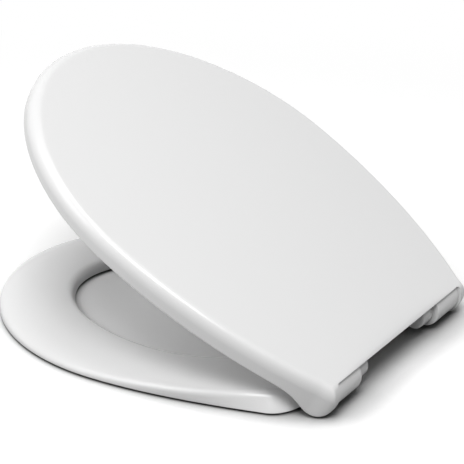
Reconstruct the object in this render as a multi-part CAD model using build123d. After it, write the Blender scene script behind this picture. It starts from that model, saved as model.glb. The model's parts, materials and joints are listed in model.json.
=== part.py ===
from build123d import *
from math import atan2, cos, degrees, radians, sin, sqrt
import os

# A white moulded toilet seat with a slow-closing lid, taken off its posts and lying on a flat surface.
# Millimetres and degrees, +Z up, front towards -Y. Each piece is drawn about the hinge axis with the
# lid closed, then the lid is opened and everything is moved to the middle of the footprint.

# Pose and hinge line
LID_OPEN = 30.6  # how far the lid stands open
HINGE_HEIGHT = 21.2  # hinge axis above the surface that the seat lies on
RUNNING = 0.06  # radial clearance of turning fits
END_GAP = 0.6  # gap between the end faces of neighbouring hinge pieces

# Lid, seen from above
LID_WIDTH = 370.0
LID_FRONT = 206.0  # from the widest place to the front
LID_REACH = 211.5  # from the hinge axis to the widest place
LID_REAR_WIDTH = 263.0  # across the ears at the hinge axis
LID_TAIL_DRAW = 15.5  # how far each rear corner of the plan draws in behind the hinge axis
LID_REAR_SLOPE = 0.62  # how fast the sides draw in at the hinge axis

# Lid, seen from the side
LID_SKIRT = 4.4  # lower edge of the skirt, below the hinge axis
LID_CROWN_RADIUS = 5000.0
LID_CROWN_HEIGHT = 22.3  # highest place of the crown above the hinge axis
LID_CROWN_AHEAD = 120.0  # highest place of the crown in front of the hinge axis
LID_EDGE_RADIUS = 12.0
LID_PLATE = 5.0
LID_WALL = 4.2
EAR_RADIUS = 20.6
EAR_AHEAD = 2.5  # centre of the ear's round in front of the hinge axis
EAR_ABOVE = 0.6
EAR_INNER_WIDTH = 243.0  # between the inner faces of the two ears
EAR_BLOCK_AHEAD = 20.0  # how far the solid ear reaches in front of the hinge axis
SWEEP_AHEAD = 56.0  # where the skirt's lower edge starts to sink towards the ear
DIP_AHEAD = 23.0  # where that slow sweep turns into the steep dip
DIP_BELOW = 7.5  # lower edge there, below the hinge axis
DIP_SLOPE = 0.12  # how fast it sinks there
LOBE_RADIUS = 13.5  # round lower end of the ear
LOBE_BELOW = 5.6  # its centre below the hinge axis
LOBE_JOIN_ANGLE = 236.0  # where the dip runs into that round
ROOF_WRAP = 22.0  # how far the lid's rear edge wraps behind the top of the hinge line
ROOF_GAP = 0.4  # between the lid's roof and the ring's knuckle
ROOF_CORNER_RADIUS = 4.0  # corners between the rear edge and the ears

# Seat ring
RING_INSET = 6.4  # inside the lid's plan
RING_REACH = 210.5  # from the hinge axis to the widest place
RING_UNDERSIDE = 2.2  # above the surface
RING_HEIGHT = 20.0  # from the underside to the plane that the raised plan is drawn on
RING_DRAFT = 1.5  # how far the front and the sides lean in over that height
RING_SHOULDER = {"low": (151.0, 38.5), "high": (155.0, 65.0)}  # half width and place where a rear corner starts
RING_SHOULDER_SLOPE = {"low": 0.277, "high": 0.55}  # how fast the sides draw in there
RING_TAIL = {"low": (120.0, 18.5), "high": (112.0, 24.0)}  # half length and place of the straight rear edge
RING_DISH_RADIUS = 2500.0  # of the hollow from front to rear; the top is level across
RING_DISH_AHEAD = 250.0  # lowest place of the dished top in front of the hinge axis
RING_DISH_HEIGHT = 11.0  # lowest place of the dished top above the surface
RING_OUTER_RADIUS = 7.0
RING_INNER_RADIUS = 7.0
RING_FOOT_RADIUS = 1.5
HOLE_WIDTH = 211.0
HOLE_AHEAD = 180.0  # widest place of the hole in front of the hinge axis
HOLE_FRONT = 159.0  # from the widest place to the hole's front
HOLE_REAR = 115.0  # from the widest place to the hole's rear
HOLE_FLARE_SIDE = 9.0  # how far the hole's sides lean out over the ring's height
HOLE_FLARE_FRONT = 6.0
HOLE_FLARE_REAR = 18.0
CHANNEL_RIM = 9.0  # rim left each side of the channel under the ring
CHANNEL_DEPTH = 4.0

# Hinge knuckles of the ring, and the hinge mounts inside them
KNUCKLE_RADIUS = 16.6
KNUCKLE_LENGTH = 44.0
KNUCKLE_BORE = 9.0  # radius
KNUCKLE_END_RADIUS = 2.0
NECK_ROOT = 38.5  # how far the knuckle's neck reaches in front of the hinge axis
NECK_TOP = 4.0  # top of the knuckle's neck below the hinge axis, where it leaves the ring
MOUNT_RADIUS = 11.5
MOUNT_LENGTH = 21.0
MOUNT_END_RADIUS = 0.8
MOUNT_FLAT = 10.2  # flat seat under the mount, below the hinge axis
POST_FROM_END = 7.4  # post centre from the mount's free end
POST_SOCKET = 5.8  # radius of the socket that holds the sleeve
POST_RADIUS = 4.6  # radius of the sleeve's bore
POST_DEPTH = 15.0

# Slow-closing dampers
DAMPER_RADIUS = 7.0
DAMPER_BORE = 5.2
DAMPER_FLOOR = 4.0  # solid end of the housing
ROTOR_GAP = 0.1
ROTOR_NECK = 3.9
CAP_LENGTH = 3.5
SEAL_LENGTH = 1.6
TANG_FLAT = 2.8  # half thickness across the flats of a tang
TANG_LENGTH = 6.0
TANG_GAP = 0.05
KEY_SIZE = 3.0  # rib that keeps the seat damper from turning in its knuckle
KEY_LENGTH = 10.0
BUSH_LENGTH = 10.0
PIN_RADIUS = 4.0

# Rubber buffers
RING_BUFFER_LENGTH = 30.0
RING_BUFFER_WIDTH = 12.0
RING_BUFFER_ANGLES = {"front": 50.0, "rear": -24.0}  # along the ring's middle line, from its widest place
RING_BUFFER_EDGE = 1.2
BUFFER_STEM = 2.6
BUFFER_STEM_LENGTH = 4.0
LID_BUFFER_RADIUS = 8.0
LID_BUFFER_ANGLES = {"front": 56.0, "rear": -16.0}  # along the same line
LID_BUFFER_GAP = 0.4  # left above the ring when the lid is closed
LID_BUFFER_LENGTH = 9.0
LID_BUFFER_EDGE = 2.0
LID_BOSS_RADIUS = 9.5

# Sizes that follow from those above
FLOOR = -HINGE_HEIGHT
RING_FRONT = LID_FRONT - RING_INSET
RING_BASE = FLOOR + RING_UNDERSIDE
RING_TAIL_AHEAD = RING_TAIL["low"][1]
LOBE_BEHIND = EAR_RADIUS - EAR_AHEAD - LOBE_RADIUS  # so that the ear's two rounds share one rear face
CHANNEL_TOP = RING_BASE + CHANNEL_DEPTH
ROOF_INNER = KNUCKLE_RADIUS + ROOF_GAP
EAR_FACE = EAR_INNER_WIDTH / 2
KNUCKLE_OUT = EAR_FACE - END_GAP
KNUCKLE_IN = KNUCKLE_OUT - KNUCKLE_LENGTH
MOUNT_OUT = KNUCKLE_IN - END_GAP
MOUNT_IN = MOUNT_OUT - MOUNT_LENGTH
POST_X = MOUNT_IN + POST_FROM_END
TALL = 80.0  # reach of cutting and trimming solids past the part
LID_REAR_REACH = (
    -EAR_AHEAD * cos(radians(LID_OPEN)) + EAR_ABOVE * sin(radians(LID_OPEN)) + EAR_RADIUS
)
HINGE_Y = round((RING_REACH + RING_FRONT - LID_REAR_REACH) / 2, 2)
TO_FRAME = Pos(0, HINGE_Y, HINGE_HEIGHT)
TO_OPEN = TO_FRAME * Rot(-LID_OPEN, 0, 0)


def crown_height(x, y, below=0.0):
    """Height of the lid's crown above the hinge axis, or of a surface parallel to it from below."""
    radius = LID_CROWN_RADIUS - below
    reach = x**2 + (y + LID_CROWN_AHEAD) ** 2
    return LID_CROWN_HEIGHT - LID_CROWN_RADIUS + sqrt(radius**2 - reach)


def dish_height(ahead):
    """Height of the ring's dished top above the hinge axis."""
    reach = ahead - RING_DISH_AHEAD
    lowest = FLOOR + RING_DISH_HEIGHT
    return lowest + RING_DISH_RADIUS - sqrt(RING_DISH_RADIUS**2 - reach**2)


def ring_middle(angle):
    """Place on the line midway between the ring's two edges: across, ahead of the hinge, turn."""
    half = (LID_WIDTH / 2 - RING_INSET + HOLE_WIDTH / 2) / 2
    widest = (RING_REACH + HOLE_AHEAD) / 2
    front = (RING_REACH + RING_FRONT + HOLE_AHEAD + HOLE_FRONT) / 2
    rear = (RING_TAIL_AHEAD + HOLE_AHEAD - HOLE_REAR) / 2
    length = front - widest if angle > 0 else widest - rear
    turn = radians(angle)
    heading = degrees(atan2(length * cos(turn), half * sin(turn)))
    return half * cos(turn), widest + length * sin(turn), heading


def ball(radius, ahead, height):
    """A large sphere over the seat's middle line, turned so that its seam stays off the part."""
    return Pos(0, -ahead, height) * Rot(90, 0, 0) * Sphere(radius)


def both_sides(edge):
    """A curve of the right-hand side and its mirror image."""
    return [edge, edge.mirror(Plane.YZ)]


def along_x(radius, start, end):
    """A cylinder about the hinge axis from one x to another."""
    return Pos((start + end) / 2, 0, 0) * Rot(0, 90, 0) * Cylinder(radius, abs(end - start))


def tang(radius, flat, start, end):
    """A round tang with two flats, about the hinge axis."""
    block = Pos((start + end) / 2, 0, 0) * Box(abs(end - start), 2 * radius, 2 * flat)
    return along_x(radius, start, end) & block


def lid_plan(inset=0.0):
    """Plan of the lid, or of its inside: half an ellipse, drawn-in sides and rounded rear corners."""
    half = LID_WIDTH / 2 - inset
    rear = LID_REAR_WIDTH / 2 - inset * sqrt(1 + LID_REAR_SLOPE**2)
    tail_x = LID_REAR_WIDTH / 2 - LID_TAIL_DRAW - inset
    tail_y = EAR_RADIUS - EAR_AHEAD - inset
    front = EllipticalCenterArc((0, -LID_REACH), half, LID_FRONT - inset, 180, arc_size=180)
    side = Spline((half, -LID_REACH), (rear, 0), tangents=[(0, 1), (-LID_REAR_SLOPE, 1)])
    corner = Spline((rear, 0), (tail_x, tail_y), tangents=[(-LID_REAR_SLOPE, 1), (-1, 0)])
    tail = Line((tail_x, tail_y), (-tail_x, tail_y))
    return make_face([front, tail] + both_sides(side) + both_sides(corner))


def lid_side():
    """Side view of the lid: skirt edge, the sweep and dip to the ear, the ear's two rounds and an open top."""
    far = -LID_REACH - LID_FRONT - LID_WALL
    join = radians(LOBE_JOIN_ANGLE)
    lobe = CenterArc((LOBE_BEHIND, -LOBE_BELOW), LOBE_RADIUS, LOBE_JOIN_ANGLE, 360 - LOBE_JOIN_ANGLE)
    upper = CenterArc((-EAR_AHEAD, EAR_ABOVE), EAR_RADIUS, 0, 90)
    rear = Line(lobe @ 1, upper @ 0)
    skirt = Line((far, -LID_SKIRT), (-SWEEP_AHEAD, -LID_SKIRT))
    turn = (1, -DIP_SLOPE)
    sweep = Spline((-SWEEP_AHEAD, -LID_SKIRT), (-DIP_AHEAD, -DIP_BELOW), tangents=[(1, 0), turn])
    dip = Spline((-DIP_AHEAD, -DIP_BELOW), lobe @ 0, tangents=[turn, (-sin(join), cos(join))])
    top = Polyline(upper @ 1, (-EAR_AHEAD, TALL), (far, TALL), (far, -LID_SKIRT))
    return make_face([skirt, sweep, dip, lobe, rear, upper, top])


def lid_shell():
    """Outer solid of the lid: plan, crown with a soft edge, and the side view."""
    slab = Pos(0, 0, -TALL) * extrude(lid_plan(), 2 * TALL)
    slab &= ball(LID_CROWN_RADIUS, LID_CROWN_AHEAD, LID_CROWN_HEIGHT - LID_CROWN_RADIUS)
    top_edges = slab.faces().sort_by(Axis.Z)[-1].edges()
    slab = fillet(top_edges, LID_EDGE_RADIUS)
    side = extrude(Plane.YZ * lid_side(), LID_WIDTH, both=True)
    return slab & side


def lid_hollow():
    """Space under the lid: the shell's inside, and the tunnel that the hinge line runs in."""
    hollow = Pos(0, 0, -TALL) * extrude(lid_plan(LID_WALL), 2 * TALL)
    centre = LID_CROWN_HEIGHT - LID_CROWN_RADIUS
    hollow &= ball(LID_CROWN_RADIUS - LID_PLATE, LID_CROWN_AHEAD, centre)
    ahead = LID_REACH + LID_FRONT
    front = Pos(0, -EAR_BLOCK_AHEAD - ahead / 2, 0) * Box(LID_WIDTH, ahead, 2 * TALL)
    neck_top = crown_height(EAR_FACE, 0, LID_PLATE)
    neck = Pos(0, -EAR_BLOCK_AHEAD / 2, neck_top - TALL / 2) * Box(2 * EAR_FACE, EAR_BLOCK_AHEAD, TALL)
    return (hollow & front) + neck


def lid_tunnel():
    """Round roof over the hinge line, open behind the lid's rear edge and below."""
    behind = make_face(
        [
            CenterArc((0, 0), TALL, -90, 180 - ROOF_WRAP),
            Line((0, 0), (TALL * sin(radians(ROOF_WRAP)), TALL * cos(radians(ROOF_WRAP)))),
            Line((0, 0), (0, -TALL)),
        ]
    )
    wedge = extrude(Plane.YZ * behind, EAR_FACE, both=True)
    straight = wedge.edges().filter_by(GeomType.LINE).filter_by(Axis.X, reverse=True)
    wedge = fillet(straight.group_by(Axis.Z)[-1], ROOF_CORNER_RADIUS)
    return wedge + along_x(ROOF_INNER, -EAR_FACE, EAR_FACE)


def lid():
    """The lid, one moulding: crowned plate, skirt, ears, sockets and buffer bosses."""
    shell = lid_shell() - lid_hollow() - lid_tunnel()
    for angle in LID_BUFFER_ANGLES.values():
        x, ahead, _ = ring_middle(angle)
        low = lid_buffer_top(ahead)
        high = crown_height(x, -ahead, LID_PLATE / 2)
        for side in (1, -1):
            shell += Pos(side * x, -ahead, (low + high) / 2) * Cylinder(LID_BOSS_RADIUS, high - low)
            shell -= buffer_stem(side * x, -ahead, low)
    shell -= tang(ROTOR_NECK + TANG_GAP, TANG_FLAT + TANG_GAP, EAR_FACE, EAR_FACE + TANG_LENGTH)
    shell -= along_x(PIN_RADIUS, -EAR_FACE, -EAR_FACE - TANG_LENGTH)
    return shell


def buffer_stem(x, y, base):
    """Stem that holds a buffer in its hole, from base upwards."""
    return Pos(x, y, base + BUFFER_STEM_LENGTH / 2) * Cylinder(BUFFER_STEM, BUFFER_STEM_LENGTH)


def lid_buffer_top(ahead):
    """Height of the face that a lid buffer sits against, with the lid closed."""
    return dish_height(ahead) + LID_BUFFER_GAP + LID_BUFFER_LENGTH


def lid_buffer(angle, side):
    """Round rubber buffer between lid and ring."""
    x, ahead, _ = ring_middle(angle)
    top = lid_buffer_top(ahead)
    pad = Pos(side * x, -ahead, top - LID_BUFFER_LENGTH / 2) * Cylinder(LID_BUFFER_RADIUS, LID_BUFFER_LENGTH)
    pad = fillet(pad.edges().group_by(Axis.Z)[0], LID_BUFFER_EDGE)
    return pad + buffer_stem(side * x, -ahead, top)


def ring_plan(level, inset=0.0):
    """Outer plan of the ring or its channel, low or high: half an ellipse, drawn-in sides, round shoulders."""
    half = LID_WIDTH / 2 - RING_INSET - inset
    slope = RING_SHOULDER_SLOPE[level]
    lean = sqrt(1 + slope**2)
    shoulder = (RING_SHOULDER[level][0] - inset / lean, -RING_SHOULDER[level][1] - inset * slope / lean)
    tail_x = RING_TAIL[level][0] - inset
    tail_y = -RING_TAIL[level][1] - inset
    front = EllipticalCenterArc((0, -RING_REACH), half, RING_FRONT - inset, 180, arc_size=180)
    side = Spline((half, -RING_REACH), shoulder, tangents=[(0, 1), (-slope, 1)])
    corner = Spline(shoulder, (tail_x, tail_y), tangents=[(-slope, 1), (-1, 0)])
    tail = Line((tail_x, tail_y), (-tail_x, tail_y))
    return make_face([front, tail] + both_sides(side) + both_sides(corner))


def oval(half, front, rear):
    """Two half ellipses that meet at the hole's widest place."""
    middle = (0, -HOLE_AHEAD)
    ahead = EllipticalCenterArc(middle, half, front, 180, arc_size=180)
    behind = EllipticalCenterArc(middle, half, rear, 0, arc_size=180)
    return make_face([ahead, behind])


def hole_plan(outset=0.0):
    """Plan of the hole at the underside, or of the channel's inner edge."""
    return oval(HOLE_WIDTH / 2 + outset, HOLE_FRONT + outset, HOLE_REAR + outset)


def hole():
    """Solid of the hole, wider at the top than at the underside."""
    half = HOLE_WIDTH / 2 + HOLE_FLARE_SIDE
    high = oval(half, HOLE_FRONT + HOLE_FLARE_FRONT, HOLE_REAR + HOLE_FLARE_REAR)
    low = Pos(0, 0, RING_BASE) * hole_plan()
    return loft([low, Pos(0, 0, RING_BASE + RING_HEIGHT) * high], ruled=True)


def dish():
    """Large cylinder from side to side whose underside is the ring's dished top."""
    height = FLOOR + RING_DISH_HEIGHT + RING_DISH_RADIUS
    return Pos(0, -RING_DISH_AHEAD, height) * Rot(0, -90, 0) * Cylinder(RING_DISH_RADIUS, LID_WIDTH)


def dished_face(rim):
    """The ring's top: the largest of its round faces."""
    return rim.faces().filter_by(GeomType.CYLINDER).sort_by(SortBy.AREA)[-1]


def ring_body():
    """Rim of the ring: sides that lean in, most at the rear shoulders, dished top, soft edges and a channel."""
    low = Pos(0, 0, RING_BASE) * ring_plan("low")
    high = Pos(0, 0, RING_BASE + RING_HEIGHT) * ring_plan("high", RING_DRAFT)
    rim = loft([low, high], ruled=True)
    rim -= hole()
    rim -= dish()
    rim = fillet(dished_face(rim).outer_wire().edges(), RING_OUTER_RADIUS)
    rim = fillet(dished_face(rim).inner_wires()[0].edges(), RING_INNER_RADIUS)
    base = rim.faces().sort_by(Axis.Z)[0]
    rim = fillet(base.edges(), RING_FOOT_RADIUS)
    channel = ring_plan("low", CHANNEL_RIM) - hole_plan(CHANNEL_RIM)
    return rim - Pos(0, 0, RING_BASE) * extrude(channel, CHANNEL_DEPTH)


def knuckle(side):
    """Hinge knuckle at the rear of the ring with the neck that carries it."""
    outline = [
        CenterArc((0, 0), KNUCKLE_RADIUS, 0, 360),
        Line((-NECK_ROOT, RING_BASE + 2 * RING_FOOT_RADIUS), (-NECK_ROOT, -NECK_TOP)),
    ]
    body = extrude(Plane.YZ * make_hull(outline), KNUCKLE_LENGTH)
    ends = body.edges().filter_by(GeomType.CIRCLE)
    body = fillet(ends, KNUCKLE_END_RADIUS)
    start = KNUCKLE_IN if side > 0 else -KNUCKLE_OUT
    return Pos(start, 0, 0) * body


def key_rib(extra=0.0):
    """Rib on the seat damper, or with extra all round the keyway for it in the left knuckle."""
    size = KEY_SIZE + 2 * extra
    return Pos(-KNUCKLE_IN - KEY_LENGTH / 2, 0, KNUCKLE_BORE) * Box(KEY_LENGTH + 2 * extra, size, size)


def seat_ring():
    """The ring, one moulding: rim, hole, channel, two knuckles and holes for the buffers."""
    ring = ring_body() + knuckle(1) + knuckle(-1)
    ring -= along_x(KNUCKLE_BORE, KNUCKLE_IN, KNUCKLE_OUT)
    ring -= along_x(KNUCKLE_BORE, -KNUCKLE_OUT, -KNUCKLE_IN)
    ring -= key_rib(TANG_GAP)
    for angle in RING_BUFFER_ANGLES.values():
        x, ahead, _ = ring_middle(angle)
        for side in (1, -1):
            ring -= buffer_stem(side * x, -ahead, CHANNEL_TOP)
    return ring


def ring_buffer(angle, side):
    """Long rubber foot under the ring, with its stem."""
    x, ahead, turn = ring_middle(angle)
    height = CHANNEL_TOP - FLOOR
    pad = extrude(SlotOverall(RING_BUFFER_LENGTH, RING_BUFFER_WIDTH), height)
    pad = fillet(pad.edges().group_by(Axis.Z)[0], RING_BUFFER_EDGE)
    pad = Pos(side * x, -ahead, FLOOR) * Rot(0, 0, side * turn) * pad
    return pad + buffer_stem(side * x, -ahead, CHANNEL_TOP)


def hinge_mount(side, tang_radius):
    """Round mount that sits on a post: sleeve socket below, tang socket towards the knuckle."""
    mount = along_x(MOUNT_RADIUS, MOUNT_IN, MOUNT_OUT)
    mount = fillet(mount.edges().filter_by(GeomType.CIRCLE), MOUNT_END_RADIUS)
    seat = Pos((MOUNT_IN + MOUNT_OUT) / 2, 0, -MOUNT_FLAT - TALL / 2)
    mount -= seat * Box(2 * MOUNT_LENGTH, 2 * MOUNT_RADIUS, TALL)
    mount -= Pos(POST_X, 0, -MOUNT_FLAT + POST_DEPTH / 2) * Cylinder(POST_SOCKET, POST_DEPTH)
    mount -= tang(tang_radius + TANG_GAP, TANG_FLAT + TANG_GAP, MOUNT_OUT - TANG_LENGTH, MOUNT_OUT)
    return mount if side > 0 else mount.mirror(Plane.YZ)


def post_sleeve(side):
    """Grip sleeve in a mount, which the post on the pan plugs into."""
    place = Pos(side * POST_X, 0, -MOUNT_FLAT + POST_DEPTH / 2)
    return place * (Cylinder(POST_SOCKET, POST_DEPTH) - Cylinder(POST_RADIUS, POST_DEPTH))


def bush(inner, start, end):
    """Plain bearing bush in a knuckle's bore."""
    return along_x(KNUCKLE_BORE, start, end) - along_x(inner, start, end)


def damper_housing(closed_end, open_end, radius):
    """Damper cup: a round housing with a blind bore from its open end."""
    towards = 1 if open_end > closed_end else -1
    body = along_x(radius, closed_end, open_end)
    return body - along_x(DAMPER_BORE, closed_end + towards * DAMPER_FLOOR, open_end)


def damper_rotor(closed_end, open_end, tip):
    """Damper rotor: a vane barrel in the bore, a neck through the cap and a tang with two flats."""
    towards = 1 if open_end > closed_end else -1
    barrel_start = closed_end + towards * (DAMPER_FLOOR + END_GAP)
    barrel_end = open_end - towards * (CAP_LENGTH + SEAL_LENGTH + END_GAP)
    neck = along_x(ROTOR_NECK, barrel_end, tip - towards * TANG_LENGTH)
    barrel = along_x(DAMPER_BORE - ROTOR_GAP, barrel_start, barrel_end)
    return barrel + neck + tang(ROTOR_NECK, TANG_FLAT, tip - towards * TANG_LENGTH, tip)


def damper_ring(open_end, towards, depth, length):
    """Cap or seal in the mouth of a damper, depth in from its open end."""
    outer = open_end - towards * depth
    inner = outer - towards * length
    return along_x(DAMPER_BORE, inner, outer) - along_x(ROTOR_NECK + RUNNING, inner, outer)


def hinge_pieces():
    """Pieces of the hinge line: lid damper on the right, seat damper and lid pivot on the left."""
    right_start = KNUCKLE_IN
    right_end = KNUCKLE_OUT - END_GAP
    housing = damper_housing(right_start, right_end, DAMPER_RADIUS)
    housing += tang(ROTOR_NECK, TANG_FLAT, MOUNT_OUT - TANG_LENGTH + END_GAP, right_start)
    left_open = -KNUCKLE_IN
    left_closed = -KNUCKLE_OUT + BUSH_LENGTH + END_GAP
    return {
        "lid_damper_housing": housing,
        "lid_damper_rotor": damper_rotor(right_start, right_end, EAR_FACE + TANG_LENGTH - END_GAP),
        "lid_damper_cap": damper_ring(right_end, 1, 0, CAP_LENGTH),
        "lid_damper_seal": damper_ring(right_end, 1, CAP_LENGTH, SEAL_LENGTH),
        "knuckle_bush_inner": bush(DAMPER_RADIUS + RUNNING, KNUCKLE_IN, KNUCKLE_IN + BUSH_LENGTH),
        "knuckle_bush_outer": bush(DAMPER_RADIUS + RUNNING, KNUCKLE_OUT - BUSH_LENGTH, KNUCKLE_OUT),
        "seat_damper_housing": damper_housing(left_closed, left_open, KNUCKLE_BORE) + key_rib(),
        "seat_damper_rotor": damper_rotor(left_closed, left_open, -MOUNT_OUT + TANG_LENGTH - END_GAP),
        "seat_damper_cap": damper_ring(left_open, 1, 0, CAP_LENGTH),
        "seat_damper_seal": damper_ring(left_open, 1, CAP_LENGTH, SEAL_LENGTH),
        "lid_pivot_bush": bush(PIN_RADIUS + RUNNING, -KNUCKLE_OUT, -KNUCKLE_OUT + BUSH_LENGTH),
        "lid_pivot_pin": along_x(PIN_RADIUS, -EAR_FACE - TANG_LENGTH, -KNUCKLE_OUT + BUSH_LENGTH),
    }


def all_pieces():
    """Every node with its solid, in the part's frame."""
    names = {1: "right", -1: "left"}
    pieces = {"lid": TO_OPEN * lid(), "seat_ring": TO_FRAME * seat_ring()}
    for side, word in names.items():
        pieces[f"hinge_mount_{word}"] = TO_FRAME * hinge_mount(side, ROTOR_NECK)
        pieces[f"post_sleeve_{word}"] = TO_FRAME * post_sleeve(side)
        for place, angle in RING_BUFFER_ANGLES.items():
            pieces[f"ring_buffer_{place}_{word}"] = TO_FRAME * ring_buffer(angle, side)
        for place, angle in LID_BUFFER_ANGLES.items():
            pieces[f"lid_buffer_{place}_{word}"] = TO_OPEN * lid_buffer(angle, side)
    with_lid = ("lid_damper_rotor", "lid_pivot_pin")
    for name, piece in hinge_pieces().items():
        pieces[name] = (TO_OPEN if name in with_lid else TO_FRAME) * piece
    return pieces


os.makedirs("parts", exist_ok=True)
for name, piece in all_pieces().items():
    export_step(piece, f"parts/{name}.step")
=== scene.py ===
import json
from math import cos, pi, radians, sin

import bmesh
import bpy
import numpy as np
from bpy.props import FloatProperty, FloatVectorProperty, PointerProperty
from bpy.types import Operator, Panel, PropertyGroup
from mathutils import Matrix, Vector


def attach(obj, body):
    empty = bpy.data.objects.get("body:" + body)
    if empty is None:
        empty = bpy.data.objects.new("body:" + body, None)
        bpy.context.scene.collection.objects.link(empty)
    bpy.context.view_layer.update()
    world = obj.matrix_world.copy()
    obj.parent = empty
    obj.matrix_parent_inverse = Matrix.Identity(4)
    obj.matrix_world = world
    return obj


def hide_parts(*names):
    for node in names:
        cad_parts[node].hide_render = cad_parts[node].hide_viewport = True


bl_info = {
    "name": "Toilet Seat",
    "version": (1, 0, 0),
    "blender": (4, 5, 0),
    "location": "View3D > Sidebar > Toilet Seat",
    "description": "Builds a moulded toilet seat with its lid part open, its finishes and a studio",
    "category": "Object",
}

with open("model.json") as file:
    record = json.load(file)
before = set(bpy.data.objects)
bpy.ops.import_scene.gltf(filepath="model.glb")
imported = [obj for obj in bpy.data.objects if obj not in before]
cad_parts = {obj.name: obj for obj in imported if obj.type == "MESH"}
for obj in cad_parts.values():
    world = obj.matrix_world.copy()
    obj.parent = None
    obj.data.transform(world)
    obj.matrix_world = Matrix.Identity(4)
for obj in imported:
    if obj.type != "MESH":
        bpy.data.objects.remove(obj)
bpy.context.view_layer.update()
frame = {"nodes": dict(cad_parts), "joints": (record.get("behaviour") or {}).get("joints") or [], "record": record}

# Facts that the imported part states
JOINTS = {joint["name"]: joint for joint in frame["joints"]}
HINGE = np.array(JOINTS["ring_lift"]["pos_m"])
LID_OPEN = -JOINTS["lid_lift"]["range_deg"][0]
SLOT_OF_NODE = {part["node"]: part["material_slot"] for part in frame["record"]["subparts"]}

# Points along the stretches of a half outline, from the front to the rear
FRONT_STEPS = 110
SIDE_STEPS = 80
CORNER_STEPS = 30
TAIL_STEPS = 40

# Points over the lid's soft edge, from there to the middle, down its wall and round its rim
LID_EDGE_STEPS = 28
LID_TOP_STEPS = 30
LID_WALL_STEPS = 10
LID_RIM_STEPS = 6

# Points along each stretch of the skirt's lower edge, the roof's arc, its corners and the lid's inside
SKIRT_STEPS = 60
ROOF_STEPS = 24
ROOF_CORNER_STEPS = 10
HOLLOW_STEPS = 24

# Points round the ring, and over its lower edges, its upper edges and its top
RING_STEPS = 480
FOOT_STEPS = 7
EDGE_STEPS = 13
TOP_STEPS = 16

# Points round a small bar, and over its rounded ends
ROUND_STEPS = 96
END_STEPS = 7

LID_CENTRE = 0.95  # where the lid's rings of points close in, as a share of its reach
LID_MIDDLE = 0.995  # how far towards that place the innermost ring lies, as a share of the way
HOLLOW_MIDDLE = 0.02  # size of the innermost ring of the lid's inside, as a share of its plan
EDGE_BAND = 1.5  # width of the finely stepped band at the lid's edge, in widths of its soft edge
LEAST_SQUARE = 0.2  # least share of an inset that counts as distance from the edge
RIM_SHARE = 0.45  # share of the wall's height that the rim's rounding may take up
SETTLING_ROUNDS = 4  # rounds in which the top's height and the wall's upper end settle each other
CREASE_ANGLE = radians(32)  # edges sharper than this stay crisp
MERGE = 1e-6  # points nearer to each other than this are one
REACH = 0.08  # how far from the hinge axis a cutting shape reaches, past the part
REACH_UP = 0.024  # height of the tunnel's upper corner behind the part
BORE_PAST = 0.001  # how far a bore runs past the ends of its knuckle
NECK_PAST = 1e-4  # how far the tunnel runs into the hollow in front of it
COAT_ROUGHNESS = 0.08
RIPPLE_DETAIL = 3.0
RIPPLE_DEPTH = 0.0002  # height of the faint ripple on the surfaces
LAMPS = {  # azimuth from the front towards +X and elevation, in degrees
    "overhead": (0, 90),
    "rear": (120, 55),
    "front": (30, 55),
    "side": (60, 40),
}


def length(name, description, default):
    """A size in metres that a user may change."""
    return FloatProperty(name=name, description=description, default=default, unit="LENGTH", precision=4)


def angle(name, description, default):
    """An angle that a user may change, given in degrees."""
    return FloatProperty(name=name, description=description, default=radians(default), unit="ROTATION")


def colour(name, description, default):
    """A plain colour that a user may change."""
    return FloatVectorProperty(
        name=name, description=description, default=default, subtype="COLOR", size=3, min=0, max=1
    )


def amount(name, description, default):
    """A number without a unit that a user may change."""
    return FloatProperty(name=name, description=description, default=default)


def power(name, description, default):
    """A lamp's power in watts that a user may change."""
    return FloatProperty(name=name, description=description, default=default, unit="POWER")


def point(name, description, default):
    """A point in metres that a user may change."""
    return FloatVectorProperty(name=name, description=description, default=default, subtype="TRANSLATION")


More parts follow.
